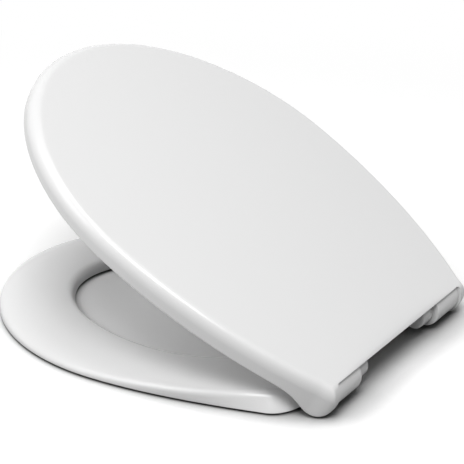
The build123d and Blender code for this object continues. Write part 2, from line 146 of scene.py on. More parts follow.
class LidSizes(PropertyGroup):
    """Sizes of the lid's moulding, about the hinge axis with the lid closed."""

    width: length("Width", "Across the widest place", 0.370)
    front: length("Front", "From the widest place to the front", 0.206)
    reach: length("Reach", "From the hinge axis to the widest place", 0.2115)
    rear_width: length("Rear width", "Across the ears at the hinge axis", 0.275)
    tail_draw: length("Tail draw", "How far each rear corner draws in", 0.0125)
    rear_slope: amount("Rear slope", "How fast the sides draw in at the hinge axis", 0.50)
    skirt: length("Skirt", "Lower edge of the skirt, below the hinge axis", 0.0044)
    crown_along: length("Crown along", "Radius of the crowned plate from front to rear", 5.0)
    crown_across: length("Crown across", "Radius of the crowned plate from side to side", 2.8)
    crown_height: length("Crown height", "Top of the crown above the hinge axis", 0.0223)
    crown_ahead: length("Crown ahead", "Top of the crown in front of the hinge axis", 0.120)
    edge: length("Soft edge", "How far the soft top edge runs down the wall", 0.012)
    edge_reach: length("Soft edge over the top", "How far it runs over the plate at sides and rear", 0.008)
    edge_front: length("Soft edge in front", "How far it runs over the plate at the front", 0.012)
    blend: length("Blend", "Softness where the plate runs into the rear round", 0.0006)
    rim: length("Rim", "Rounding of the skirt's lower edge", 0.0012)
    plate: length("Plate", "Thickness of the plate", 0.005)
    wall: length("Wall", "Thickness of the skirt", 0.0042)
    ear_radius: length("Ear radius", "Radius of the round ears", 0.0206)
    ear_ahead: length("Ear ahead", "Centre of the ears in front of the hinge axis", 0.0025)
    ear_above: length("Ear above", "Centre of the ears above the hinge axis", 0.0006)
    ear_inner: length("Ear inner width", "Between the inner faces of the ears", 0.243)
    ear_block: length("Ear block", "How far the solid ears reach in front of the hinge axis", 0.020)
    sweep_ahead: length("Sweep ahead", "Where the skirt's edge sinks, in front of the hinge axis", 0.056)
    dip_ahead: length("Dip ahead", "Where that slow sweep turns into the steep dip", 0.023)
    dip_below: length("Dip below", "Lower edge there, below the hinge axis", 0.0058)
    dip_slope: amount("Dip slope", "How fast it sinks there", 0.12)
    lobe_radius: length("Lobe radius", "Round lower end of the ears", 0.0135)
    lobe_below: length("Lobe below", "Its centre below the hinge axis", 0.0035)
    lobe_join: angle("Lobe join", "Where the dip runs into that round", 236)
    roof_radius: length("Roof radius", "Inside of the roof over the hinge line", 0.017)
    roof_wrap: angle("Roof wrap", "How far the rear edge wraps behind the hinge line", 22)
    roof_corner: length("Roof corner", "Rounding of the corners beside the ears", 0.004)
    boss_radius: length("Boss radius", "Bosses that carry the buffers", 0.0095)
    buffer_stem: length("Buffer stem", "How deep the buffers' stems sit in the bosses", 0.004)


class RingSizes(PropertyGroup):
    """Sizes of the seat ring and its hinge knuckles, about the hinge axis."""

    width: length("Width", "Across the widest place", 0.3572)
    front: length("Front", "From the widest place to the front", 0.1995)
    reach: length("Reach", "From the hinge axis to the widest place", 0.2105)
    underside: length("Underside", "Underside above the floor", 0.0022)
    height: length("Height", "From the underside to the plane of the high plan", 0.020)
    draft: length("Draft", "How far the front and the sides lean in over that height", 0.0015)
    low_shoulder: length("Low shoulder", "Half width where a rear corner of the low plan starts", 0.151)
    low_shoulder_ahead: length("Low shoulder ahead", "That place in front of the hinge axis", 0.0385)
    low_slope: amount("Low slope", "How fast the low plan draws in there", 0.277)
    low_tail: length("Low tail", "Half length of the low plan's straight rear edge", 0.120)
    low_tail_ahead: length("Low tail ahead", "That edge in front of the hinge axis", 0.0185)
    high_shoulder: length("High shoulder", "Half width where a rear corner of the high plan starts", 0.155)
    high_shoulder_ahead: length("High shoulder ahead", "That place in front of the hinge axis", 0.065)
    high_slope: amount("High slope", "How fast the high plan draws in there", 0.55)
    high_tail: length("High tail", "Half length of the high plan's straight rear edge", 0.112)
    high_tail_ahead: length("High tail ahead", "That edge in front of the hinge axis", 0.024)
    dish_radius: length("Dish radius", "Radius of the dished top from front to rear", 2.5)
    dish_ahead: length("Dish ahead", "Lowest place of the top in front of the hinge axis", 0.250)
    dish_height: length("Dish height", "Lowest place of the top above the floor", 0.011)
    outer_edge: length("Outer edge", "How far the rounding of the outer edge runs down the wall", 0.0065)
    outer_rear: length("Outer edge at the rear", "How far that rounding runs over the top at the rear", 0.006)
    outer_front: length("Outer edge in front", "How far it runs over the top at the front", 0.024)
    outer_crisp: length("Crisp until", "The edge is crisp up to here, in front of the hinge axis", 0.080)
    outer_soft: length("Soft from", "The edge is soft from here on", 0.230)
    inner_edge: length("Inner edge", "Rounding of the edge of the hole", 0.007)
    foot_edge: length("Foot edge", "Rounding of the lower edges", 0.0015)
    hole_width: length("Hole width", "Across the hole", 0.211)
    hole_ahead: length("Hole ahead", "Widest place of the hole in front of the hinge axis", 0.180)
    hole_front: length("Hole front", "From there to the front of the hole", 0.159)
    hole_rear: length("Hole rear", "From there to the rear of the hole", 0.115)
    flare_side: length("Flare at the sides", "How far the hole leans out at its sides over the height", 0.009)
    flare_front: length("Flare in front", "How far it leans out at its front", 0.006)
    flare_rear: length("Flare at the rear", "How far it leans out at its rear", 0.018)
    channel_rim: length("Channel rim", "Rim left each side of the channel underneath", 0.009)
    channel_depth: length("Channel depth", "Depth of that channel", 0.004)
    knuckle_radius: length("Knuckle radius", "Radius of the hinge knuckles", 0.0166)
    knuckle_bore: length("Knuckle bore", "Radius of their bores", 0.009)
    knuckle_inner: length("Knuckle inner", "Inner end of a knuckle from the middle", 0.0769)
    knuckle_outer: length("Knuckle outer", "Outer end of a knuckle from the middle", 0.1209)
    knuckle_edge: length("Knuckle edge", "Rounding of the knuckles' ends", 0.002)
    neck_root: length("Neck root", "How far the knuckle's neck reaches in front of the hinge axis", 0.0385)
    neck_top: length("Neck top", "Top of that neck's root below the hinge axis", 0.004)


class MountSizes(PropertyGroup):
    """Sizes of the round hinge mounts, about the hinge axis."""

    radius: length("Radius", "Radius of a mount", 0.0115)
    inner: length("Inner end", "Free end of a mount from the middle", 0.0553)
    outer: length("Outer end", "End beside the knuckle from the middle", 0.0763)
    edge: length("Edge", "Rounding of the ends", 0.0014)
    groove: length("Groove", "Width of the groove beside the knuckle", 0.0018)
    neck: length("Neck", "Radius in that groove", 0.0085)
    post: length("Post", "Axis of the post from the middle", 0.0627)
    socket: length("Socket", "Radius of the socket for the sleeve", 0.0058)
    socket_top: length("Socket top", "Top of that socket above the hinge axis", 0.0048)


class Finishes(PropertyGroup):
    """Colours of the finishes and of the floor."""

    white_moulding: colour("White moulding", "Lid and ring", (0.84, 0.84, 0.84))
    mount_plastic: colour("Mount plastic", "Hinge mounts", (0.74, 0.74, 0.74))
    damper_plastic: colour("Damper plastic", "Damper housings and caps", (0.55, 0.56, 0.57))
    rotor_plastic: colour("Rotor plastic", "Rotors and bushes", (0.72, 0.72, 0.70))
    grip_rubber: colour("Grip rubber", "Post sleeves and seals", (0.12, 0.12, 0.12))
    buffer_rubber: colour("Buffer rubber", "Feet and buffers", (0.62, 0.62, 0.61))
    pin_steel: colour("Pin steel", "Pivot pin", (0.62, 0.62, 0.62))
    floor: colour("Floor", "Floor as it lights the seat", (0.30, 0.30, 0.30))
    floor_seen: amount("Floor seen", "How pale the floor looks where nothing is near it", 1.2)
    # Reach of the painted shade that ambient occlusion puts on the floor's seen colour near the seat
    floor_shade: length("Floor shade", "How near the seat has to be to shade the floor further", 0.065)


class Studio(PropertyGroup):
    """Camera, lamps and floor."""

    azimuth: angle("Azimuth", "Direction of the camera round the seat", 122.12)
    elevation: angle("Elevation", "Height of the camera above the horizon", 22.93)
    distance: length("Distance", "From the camera to the point that it looks at", 1.797)
    lens: FloatProperty(name="Lens", description="Focal length", default=139.4, unit="CAMERA")
    aim: point("Aim", "Point that the camera looks at", (-0.0631, -0.0120, 0.060))
    floor_size: length("Floor size", "From one edge of the floor to the other", 60.0)
    floor_near: length("Floor near", "How far from the seat the floor starts to run into plain white", 0.45)
    floor_far: length("Floor far", "How far from the seat it is plain white", 1.0)
    dome: amount("Dome", "Strength of the even light from all round", 0.09)
    lamp_distance: length("Lamp distance", "From the lamps to the seat", 5.0)
    lamp_size: length("Lamp size", "Side of each square lamp", 2.0)
    overhead: power("Overhead", "Power of the lamp above the seat", 60)
    rear: power("Rear", "Power of the lamp behind the seat, on the camera's side", 144)
    front: power("Front", "Power of the lamp in front of the seat", 30)
    side: power("Side", "Power of the lamp to the right of the seat", 40)


# Curves and grids


def cubic(start, end, start_way, end_way, steps):
    """Cubic curve between two points, which leaves and arrives along the given ways.

    It is the sum of both points and both ways, each way as long as the chord, under four cubic weights.
    """
    start, end = np.array(start), np.array(end)
    chord = np.linalg.norm(end - start)
    leave = chord * np.array(start_way) / np.linalg.norm(start_way)
    arrive = chord * np.array(end_way) / np.linalg.norm(end_way)
    u = np.linspace(0, 1, steps, endpoint=False)[:, None]
    return (
        (2 * u**3 - 3 * u**2 + 1) * start
        + (u**3 - 2 * u**2 + u) * leave
        + (3 * u**2 - 2 * u**3) * end
        + (u**3 - u**2) * arrive
    )


def soft_least(a, b, softness):
    """The smaller of two heights, with their crossing rounded: -k log(exp(-a/k) + exp(-b/k))."""
    return -softness * np.logaddexp(-a / softness, -b / softness)


def edge_drop(inset, reach, depth):
    """Fall of an edge below the face that it rounds by a quarter ellipse, at a distance inside the edge."""
    short = np.clip(1 - inset / reach, 0, 1)
    return depth * (1 - np.sqrt(1 - short**2))


def quarter_round(radius, steps):
    """Insets and depths along a quarter round: r (1 - sin t) and r (1 - cos t), t over a right angle."""
    turn = np.linspace(0, pi / 2, steps)
    return radius * (1 - np.sin(turn)), radius * (1 - np.cos(turn))


def smooth_step(start, end, value):
    """Step from 0 to 1 while a value runs from start to end: 3 s^2 - 2 s^3 of its share s of that way."""
    share = np.clip((value - start) / (end - start), 0, 1)
    return share**2 * (3 - 2 * share)


def soft_corner(corner, one_way, other_way, one_reach, other_reach, steps):
    """Parabola that rounds a corner of a section, for every direction at once.

    It leaves the one face and touches the other at the given reaches from the corner.
    """
    one_way = one_way / np.linalg.norm(one_way, axis=-1, keepdims=True)
    other_way = other_way / np.linalg.norm(other_way, axis=-1, keepdims=True)
    u = np.linspace(0, 1, steps)[:, None, None]
    start = corner + np.reshape(one_reach, (-1, 1)) * one_way
    end = corner + np.reshape(other_reach, (-1, 1)) * other_way
    return (1 - u) ** 2 * start + 2 * u * (1 - u) * corner + u**2 * end


def raised(plan, height):
    """Points of a plan, lifted to their heights."""
    return np.concatenate([plan, height[..., None]], axis=-1)


def whole_outline(half):
    """The right half of an outline, from the front to the rear on the middle line, with its mirror image."""
    mirrored = half[-2:0:-1] * np.array([-1, 1])
    return np.concatenate([half, mirrored])


def inward_normals(outline):
    """Unit normals of a closed outline, pointing inside; the outline runs anticlockwise from above."""
    along = np.roll(outline, -1, axis=0) - np.roll(outline, 1, axis=0)
    normals = np.stack([-along[:, 1], along[:, 0]], axis=1)
    return normals / np.linalg.norm(normals, axis=1, keepdims=True)


def at_angles(outline, centre, angles):
    """Points of a closed outline in given directions from a centre, straight between its own points."""
    offset = outline - centre
    seen = np.arctan2(offset[:, 1], offset[:, 0]) % (2 * pi)
    order = np.argsort(seen)
    x = np.interp(angles, seen[order], outline[order, 0], period=2 * pi)
    y = np.interp(angles, seen[order], outline[order, 1], period=2 * pi)
    return np.stack([x, y], axis=1)


def skin(name, rings, looped=False):
    """Closed mesh over a stack of rings of points, an array of (rings, points, 3).

    Neighbouring rings are joined by quads. The first and last rings are each closed by one face, or with
    looped they are joined to each other.
    """
    count, around = rings.shape[:2]
    index = np.arange(count * around).reshape(count, around)
    upper = index if looped else index[:-1]
    lower = np.roll(index, -1, axis=0) if looped else index[1:]
    quads = np.stack([upper, np.roll(upper, -1, 1), np.roll(lower, -1, 1), lower], axis=-1).reshape(-1, 4)
    faces = quads.tolist()
    if not looped:
        faces += [index[0].tolist(), index[-1].tolist()]
    mesh = bpy.data.meshes.new(name)
    mesh.from_pydata(rings.reshape(-1, 3), [], faces)
    finish_mesh(mesh)
    piece = bpy.data.objects.new(name, mesh)
    bpy.context.scene.collection.objects.link(piece)
    return piece


def finish_mesh(mesh):
    """Merges doubles, turns the faces outwards and shades them smooth up to the crease angle."""
    made = bmesh.new()
    made.from_mesh(mesh)
    bmesh.ops.remove_doubles(made, verts=made.verts, dist=MERGE)
    bmesh.ops.recalc_face_normals(made, faces=made.faces)
    made.to_mesh(mesh)
    made.free()
    mesh.polygons.foreach_set("use_smooth", np.ones(len(mesh.polygons), bool))
    mesh.set_sharp_from_angle(angle=CREASE_ANGLE)
    mesh.update()


def carve(piece, tool, operation):
    """Cuts a tool away from a piece, or joins it on, and removes the tool."""
    modifier = piece.modifiers.new(operation, "BOOLEAN")
    modifier.operation = operation
    modifier.solver = "EXACT"
    modifier.object = tool
    shown = piece.evaluated_get(bpy.context.evaluated_depsgraph_get())
    mesh = bpy.data.meshes.new_from_object(shown)
    piece.modifiers.clear()
    old = piece.data
    piece.data = mesh
    mesh.name = piece.name
    bpy.data.meshes.remove(old)
    bpy.data.objects.remove(tool)
    finish_mesh(mesh)


def along_x(places, profiles):
    """Rings that carry profiles of (y, z) points along x, one profile for each place."""
    across = np.repeat(np.array(places)[:, None, None], profiles.shape[1], axis=1)
    return np.concatenate([across, profiles], axis=-1)


def circle(radius):
    """Points of a circle about the origin of its plane."""
    turn = np.linspace(0, 2 * pi, ROUND_STEPS, endpoint=False)
    return radius * np.stack([np.cos(turn), np.sin(turn)], axis=1)


def upright_bar(radius, centre, low, high):
    """Rings of an upright round bar between two heights."""
    plan = circle(radius) + np.array(centre)
    return np.stack([raised(plan, np.full(len(plan), height)) for height in (low, high)])


def rounded_bar(profile, start, end, edge):
    """Rings along x of a bar with quarter-round ends; the profile shrinks towards the axis there."""
    inset, depth = quarter_round(edge, END_STEPS)
    places = np.concatenate([start + depth, end - depth[::-1]])
    insets = np.concatenate([inset, inset[::-1]])
    size = np.linalg.norm(profile, axis=1).max()
    profiles = profile[None] * (1 - insets / size)[:, None, None]
    return along_x(places, profiles)


def in_frame(points):
    """Points about the hinge axis, moved into the part's frame."""
    return points + HINGE


def turned(points, degrees):
    """Points about the hinge axis, turned about it so that the front rises."""
    turn = radians(degrees)
    x, y, z = np.moveaxis(points, -1, 0)
    return np.stack([x, y * cos(turn) + z * sin(turn), z * cos(turn) - y * sin(turn)], axis=-1)


def opened(points):
    """Points of the closed lid, turned open about the hinge axis and moved into the part's frame."""
    return in_frame(turned(points, LID_OPEN))


def closed(points):
    """Points of the part's frame, moved to the hinge axis and turned with the lid until it is closed."""
    return turned(points - HINGE, -LID_OPEN)


def node_points(node):
    """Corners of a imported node's mesh in the part's frame."""
    points = np.empty(3 * len(node.data.vertices))
    node.data.vertices.foreach_get("co", points)
    matrix = np.array(node.matrix_world)
    return points.reshape(-1, 3) @ matrix[:3, :3].T + matrix[:3, 3]


# Lid


def lid_outline(lid, inset=0.0):
    """Plan of the lid or of its inside: half an ellipse, drawn-in sides, rear corners, a straight tail."""
    half = lid.width / 2 - inset
    rear = lid.rear_width / 2 - inset * np.hypot(1, lid.rear_slope)
    tail_x = lid.rear_width / 2 - lid.tail_draw - inset
    tail_y = lid.ear_radius - lid.ear_ahead - inset
    turn = np.linspace(0, pi / 2, FRONT_STEPS, endpoint=False)
    front = np.stack([half * np.sin(turn), -lid.reach - (lid.front - inset) * np.cos(turn)], axis=1)
    slope = (-lid.rear_slope, 1)
    side = cubic((half, -lid.reach), (rear, 0), (0, 1), slope, SIDE_STEPS)
    corner = cubic((rear, 0), (tail_x, tail_y), slope, (-1, 0), CORNER_STEPS)
    tail = np.stack([np.linspace(tail_x, 0, TAIL_STEPS), np.full(TAIL_STEPS, tail_y)], axis=1)
    return whole_outline(np.concatenate([front, side, corner, tail]))


def crown(lid, x, y, below=0.0):
    """Height of the crowned plate, or of a surface at a depth below it: its top less x*x / 2R each way."""
    fall = x**2 / (2 * lid.crown_across) + (y + lid.crown_ahead) ** 2 / (2 * lid.crown_along)
    return lid.crown_height - below - fall


def ear_arc(lid, y):
    """Half height of the ear's round at a place along the lid."""
    return np.sqrt(np.clip(lid.ear_radius**2 - (y + lid.ear_ahead) ** 2, 0, None))


def rear_round(lid, y):
    """Upper bound of the lid near its rear edge: the ear's upper arc, rising clear of the plate ahead."""
    ahead = np.clip(-y - lid.ear_ahead, 0, None)
    behind = np.maximum(y, -lid.ear_ahead)
    return lid.ear_above + ear_arc(lid, behind) + ahead**2 / lid.ear_radius


def skirt_height(lid, y):
    """Lower edge of the lid from the side: level skirt, slow sweep, steep dip, then the ear's round lobe."""
    turn = np.linspace(lid.lobe_join, 2 * pi, SKIRT_STEPS)
    lobe_y = lid.ear_radius - lid.ear_ahead - lid.lobe_radius + lid.lobe_radius * np.cos(turn)
    lobe_z = lid.lobe_radius * np.sin(turn) - lid.lobe_below
    lobe = np.stack([lobe_y, lobe_z], axis=1)
    sweep_start = (-lid.sweep_ahead, -lid.skirt)
    dip_start = (-lid.dip_ahead, -lid.dip_below)
    dip_way = (1, -lid.dip_slope)
    lobe_way = (-sin(lid.lobe_join), cos(lid.lobe_join))
    sweep = cubic(sweep_start, dip_start, (1, 0), dip_way, SKIRT_STEPS)
    dip = cubic(dip_start, lobe[0], dip_way, lobe_way, SKIRT_STEPS)
    edge = np.concatenate([sweep, dip, lobe])
    return np.interp(y, edge[:, 0], edge[:, 1])


def lid_form(lid):
    """Outer form of the lid as rings of points from the middle of its top to the middle of its underside.

    Each point of the plan's outline runs inwards to a common centre. Along that way the top is the crown less
    the soft edge's quarter ellipse, softly cut by the ear's upper arc; the wall is upright; the underside is
    the side view's lower edge, with a small quarter round where it meets the wall.
    """
    outline = lid_outline(lid)
    way = np.array([0, -lid.reach * LID_CENTRE]) - outline
    far = np.linalg.norm(way, axis=1)
    way /= far[:, None]
    square = np.clip((way * inward_normals(outline)).sum(1), LEAST_SQUARE, 1)
    frontness = smooth_step(lid.reach, lid.reach + lid.front, -outline[:, 1])
    reach = lid.edge_reach + (lid.edge_front - lid.edge_reach) * frontness
    near = lid.edge_front * EDGE_BAND
    _, fine = quarter_round(near, LID_EDGE_STEPS)
    share = np.linspace(0, LID_MIDDLE, LID_TOP_STEPS)[1:, None]
    insets = np.concatenate([np.repeat(fine[:, None], len(far), 1), near + share * (far - near)])
    plan = outline[None] + insets[..., None] * way[None]
    x, y = plan[..., 0], plan[..., 1]
    top = crown(lid, x, y) - edge_drop(insets * square, reach, lid.edge)
    top = soft_least(top, rear_round(lid, y), lid.blend)
    bottom = skirt_height(lid, y)
    top = np.maximum(top, bottom[:1])
    rim = np.minimum(lid.rim, RIM_SHARE * (top[0] - bottom[0]))
    rise, inside = quarter_round(1.0, LID_RIM_STEPS)
    share = np.linspace(0, 1, LID_WALL_STEPS, endpoint=False)[1:, None]
    wall = top[0] + share * (bottom[0] + rim - top[0])
    rim_plan = outline[None] + (rim * inside[:, None])[..., None] * way[None]
    rim_height = skirt_height(lid, rim_plan[..., 1]) + rim * rise[:, None]
    under = insets[insets.min(1) > lid.rim]
    under_plan = outline[None] + under[..., None] * way[None]
    parts = [
        raised(plan[::-1], top[::-1]),
        raised(np.repeat(outline[None], len(wall), 0), wall),
        raised(rim_plan, rim_height),
        raised(under_plan, skirt_height(lid, under_plan[..., 1])),
    ]
    return np.concatenate(parts)


def lid_hollow(lid):
    """Inside of the lid in front of the ears: the inset plan, open below, under a face along the crown."""
    outline = lid_outline(lid, lid.wall)
    outline[:, 1] = np.minimum(outline[:, 1], -lid.ear_block)
    centre = np.array([0, -lid.reach])
    share = np.linspace(HOLLOW_MIDDLE, 1, HOLLOW_STEPS)[:, None, None]
    plan = centre + share * (outline - centre)[None]
    top = crown(lid, plan[..., 0], plan[..., 1], lid.plate)
    below = np.full((1, len(outline)), -REACH)
    return np.concatenate([raised(plan, top), raised(outline[None], below)])


def lid_tunnel(lid):
    """Space for the hinge line: a round roof, open behind the rear edge and below, and the neck ahead of it.

    One profile of (y, z) points is carried along x. Near the ears the rear edge's face steps back by a
    quarter round, which rounds the corners beside them.
    """
    half = lid.ear_inner / 2
    wrap = lid.roof_wrap
    neck = crown(lid, half, 0, lid.plate)
    start = np.arcsin(min(neck / lid.roof_radius, 1))
    roof = np.linspace(pi - start, pi / 2 - wrap, ROOF_STEPS)
    arc = lid.roof_radius * np.stack([np.cos(roof), np.sin(roof)], axis=1)
    ray = np.array([sin(wrap), cos(wrap)])
    ahead = -lid.ear_block - NECK_PAST
    front = [[ahead, -REACH], [ahead, neck]]
    rear = [REACH * ray, [REACH, REACH_UP], [REACH, -REACH]]
    profile = np.concatenate([front, arc, rear])
    inset, _ = quarter_round(lid.roof_corner, ROOF_CORNER_STEPS)
    places = np.concatenate([-(half - inset)[::-1], half - inset])
    step = edge_drop(half - np.abs(places), lid.roof_corner, lid.roof_corner)
    behind = np.array([cos(wrap), -sin(wrap)])
    edge_end = len(front) + len(arc)
    moves = np.zeros(len(profile))
    moves[edge_end - 1 : edge_end + 1] = 1
    profiles = profile[None] + step[:, None, None] * moves[None, :, None] * behind
    return along_x(places, profiles)


def lid_boss(lid, node):
    """Round boss between the plate and a buffer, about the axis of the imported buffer."""
    points = closed(node_points(node))
    across, along = (points.min(0) + points.max(0))[:2] / 2
    low = points[:, 2].max() - lid.buffer_stem
    high = crown(lid, across, along, lid.plate / 2)
    return upright_bar(lid.boss_radius, (across, along), low, high)


def make_lid(lid):
    """The lid: its outer form less the hollow and the hinge tunnel, with the buffers' bosses joined on."""
    piece = skin("lid_moulding", opened(lid_form(lid)))
    carve(piece, skin("hollow", opened(lid_hollow(lid))), "DIFFERENCE")
    carve(piece, skin("tunnel", opened(lid_tunnel(lid))), "DIFFERENCE")
    for name, node in frame["nodes"].items():
        if name.startswith("lid_buffer"):
            carve(piece, skin("boss", opened(lid_boss(lid, node))), "UNION")
    return piece


# Ring


def ring_outline(ring, level, inset=0.0):
    """Low or high plan of the ring: half an ellipse, drawn-in sides, round shoulders and a straight tail."""
    half = ring.width / 2 - inset
    slope = getattr(ring, level + "_slope")
    across = np.array([1, slope]) / np.hypot(1, slope)
    shoulder = np.array([getattr(ring, level + "_shoulder"), -getattr(ring, level + "_shoulder_ahead")])
    shoulder -= inset * across
    tail = np.array([getattr(ring, level + "_tail"), -getattr(ring, level + "_tail_ahead")]) - inset
    turn = np.linspace(0, pi / 2, FRONT_STEPS, endpoint=False)
    front = np.stack([half * np.sin(turn), -ring.reach - (ring.front - inset) * np.cos(turn)], axis=1)
    side = cubic((half, -ring.reach), shoulder, (0, 1), (-slope, 1), SIDE_STEPS)
    corner = cubic(shoulder, tail, (-slope, 1), (-1, 0), CORNER_STEPS)
    rear = np.stack([np.linspace(tail[0], 0, TAIL_STEPS), np.full(TAIL_STEPS, tail[1])], axis=1)
    return whole_outline(np.concatenate([front, side, corner, rear]))


def hole_outline(ring, flare=0):
    """Plan of the hole, low (flare 0) or high (1): two half ellipses that meet at its widest place."""
    turn = np.linspace(-pi / 2, 1.5 * pi, RING_STEPS, endpoint=False)
    half = ring.hole_width / 2 + flare * ring.flare_side
    front = ring.hole_front + flare * ring.flare_front
    rear = ring.hole_rear + flare * ring.flare_rear
    length_y = np.where(np.sin(turn) < 0, front, rear)
    return np.stack([half * np.cos(turn), -ring.hole_ahead + length_y * np.sin(turn)], axis=1)


def dish(ring, y):
    """Height of the ring's dished top, a large cylinder from side to side, about the hinge axis."""
    reach = y + ring.dish_ahead
    return ring.dish_height - HINGE[2] + ring.dish_radius - np.sqrt(ring.dish_radius**2 - reach**2)


def ring_form(ring):
    """Rim of the ring as rings of points carried round its section.

    In each direction from the hole's middle the section is drawn as (inset, height) points: from the low plan
    up the leaning wall to the dished top, across it, down the wall of the hole, which leans the other way,
    and through the channel underneath. All four corners are rounded. Each wall leans from a low plan to a
    high one.
    """
    centre = np.array([0, -ring.hole_ahead])
    directions = np.linspace(0, 2 * pi, RING_STEPS, endpoint=False)
    outer = at_angles(ring_outline(ring, "low"), centre, directions)
    upper = at_angles(ring_outline(ring, "high", ring.draft), centre, directions)
    hole = at_angles(hole_outline(ring), centre, directions)
    flared = at_angles(hole_outline(ring, 1), centre, directions)
    way = hole - outer
    width = np.linalg.norm(way, axis=1)
    way /= width[:, None]
    base = ring.underside - HINGE[2]

    def top_at(inset):
        """Height of the dished top at insets from the low plan."""
        return dish(ring, outer[:, 1] + inset * way[:, 1])

    def wall(low_in, low, high, drop, reach, inwards):
        """Rounded foot of a wall and its rounded edge with the top, as (inset, height) points upwards."""
        lean = ((high - low) * way).sum(1)
        edge_in = low_in + lean
        for _ in range(SETTLING_ROUNDS):
            edge_in = low_in + lean * (top_at(edge_in) - base) / ring.height
        edge = np.stack([edge_in, top_at(edge_in)], axis=1)
        up = np.stack([lean, np.full_like(lean, ring.height)], axis=1)
        along = inwards * reach + 0 * lean
        along_top = np.stack([along, top_at(edge_in + along) - edge[:, 1]], axis=1)
        along_foot = np.stack([along, 0 * lean], axis=1)
        toe = np.stack([low_in, base + 0 * lean], axis=1)
        foot = soft_corner(toe, along_foot, up, ring.foot_edge, ring.foot_edge, FOOT_STEPS)
        return np.concatenate([foot, soft_corner(edge, -up, along_top, drop, reach, EDGE_STEPS)])

    softness = smooth_step(ring.outer_crisp, ring.outer_soft, -outer[:, 1])
    outer_reach = ring.outer_rear + (ring.outer_front - ring.outer_rear) * softness
    outside = wall(0 * width, outer, upper, ring.outer_edge, outer_reach, 1)
    inside = wall(width, hole, flared, ring.inner_edge, ring.inner_edge, -1)[::-1]
    share = np.linspace(0, 1, TOP_STEPS)[1:-1, None]
    top_in = outside[-1, :, 0] + share * (inside[0, :, 0] - outside[-1, :, 0])
    top = np.stack([top_in, top_at(top_in)], axis=-1)
    rim = ring.channel_rim + 0 * width
    channel_in = np.stack([width - rim, width - rim, rim, rim])
    channel_up = base + np.array([0, 1, 1, 0]) * ring.channel_depth
    channel = np.stack([channel_in, channel_up[:, None] + 0 * width], axis=-1)
    section = np.concatenate([outside, top, inside, channel])
    return raised(outer + section[..., :1] * way, section[..., 1])


def knuckle_profile(ring):
    """Side view of a knuckle: its round and the neck that runs from it into the ring, as (y, z) points."""
    root = -ring.neck_root
    upper = np.array([root, -ring.neck_top])
    lower = np.array([root, ring.underside + 2 * ring.foot_edge - HINGE[2]])

    def touching(corner, side):
        """Angle at which a line from a corner of the neck touches the round, on one side or the other."""
        spread = np.arccos(ring.knuckle_radius / np.hypot(*corner))
        return np.arctan2(corner[1], corner[0]) % (2 * pi) + side * spread

    turn = np.linspace(touching(upper, -1), touching(lower, 1) - 2 * pi, ROUND_STEPS)
    arc = ring.knuckle_radius * np.stack([np.cos(turn), np.sin(turn)], axis=1)
    return np.concatenate([[lower, upper], arc])


def make_ring(ring):
    """The seat ring: its rim with the two bored knuckles joined on."""
    piece = skin("ring_moulding", in_frame(ring_form(ring)), looped=True)
    profile = knuckle_profile(ring)
    for side in (1, -1):
        ends = sorted((side * ring.knuckle_inner, side * ring.knuckle_outer))
        knuckle = rounded_bar(profile, *ends, ring.knuckle_edge)
        carve(piece, skin("knuckle", in_frame(knuckle)), "UNION")
        places = [ends[0] - BORE_PAST, ends[1] + BORE_PAST]
        bore = along_x(places, np.repeat(circle(ring.knuckle_bore)[None], len(places), 0))
        carve(piece, skin("bore", in_frame(bore)), "DIFFERENCE")
    return piece


# Hinge mounts


def make_mount(mount, side):
    """A hinge mount: a round bar with soft ends, a groove beside the knuckle, and the socket from below."""
    inset, depth = quarter_round(mount.edge, END_STEPS)
    shoulder = mount.outer - mount.groove
    places = np.concatenate([mount.inner + depth, shoulder - depth[::-1], [shoulder, mount.outer]])
    radii = np.concatenate([mount.radius - inset, mount.radius - inset[::-1], [mount.neck, mount.neck]])
    rings = along_x(side * places, radii[:, None, None] * circle(1.0)[None])
    piece = skin("mount_right" if side > 0 else "mount_left", in_frame(rings))
    socket = upright_bar(mount.socket, (side * mount.post, 0), -REACH, mount.socket_top)
    carve(piece, skin("socket", in_frame(socket)), "DIFFERENCE")
    return piece


# Finishes


def math_node(tree, operation, *values):
    """Result of a Math node whose inputs are other nodes' outputs or plain numbers."""
    node = tree.nodes.new("ShaderNodeMath")
    node.operation = operation
    for socket, value in zip(node.inputs, values):
        if isinstance(value, bpy.types.NodeSocket):
            tree.links.new(value, socket)
        else:
            socket.default_value = value
    return node.outputs[0]


def ripple_group():
    """Node group for all surfaces: slightly uneven gloss and a faint ripple, on Object coordinates.

    The roughness is the base plus the spread times a noise less a half, and the height is the noise.
    """
    group = bpy.data.node_groups.new("faint_ripple", "ShaderNodeTree")
    for name, default in (("Scale", 40.0), ("Base roughness", 0.3), ("Spread", 0.04)):
        socket = group.interface.new_socket(name, in_out="INPUT", socket_type="NodeSocketFloat")
        socket.default_value = default
    for name in ("Roughness", "Height"):
        group.interface.new_socket(name, in_out="OUTPUT", socket_type="NodeSocketFloat")
    nodes, links = group.nodes, group.links
    given = nodes.new("NodeGroupInput").outputs
    result = nodes.new("NodeGroupOutput").inputs
    place = nodes.new("ShaderNodeTexCoord")
    noise = nodes.new("ShaderNodeTexNoise")
    noise.inputs["Detail"].default_value = RIPPLE_DETAIL
    links.new(place.outputs["Object"], noise.inputs["Vector"])
    links.new(given["Scale"], noise.inputs["Scale"])
    centred = math_node(group, "SUBTRACT", noise.outputs["Fac"], 0.5)
    uneven = math_node(group, "MULTIPLY_ADD", centred, given["Spread"], given["Base roughness"])
    links.new(uneven, result["Roughness"])
    links.new(noise.outputs["Fac"], result["Height"])
    return group


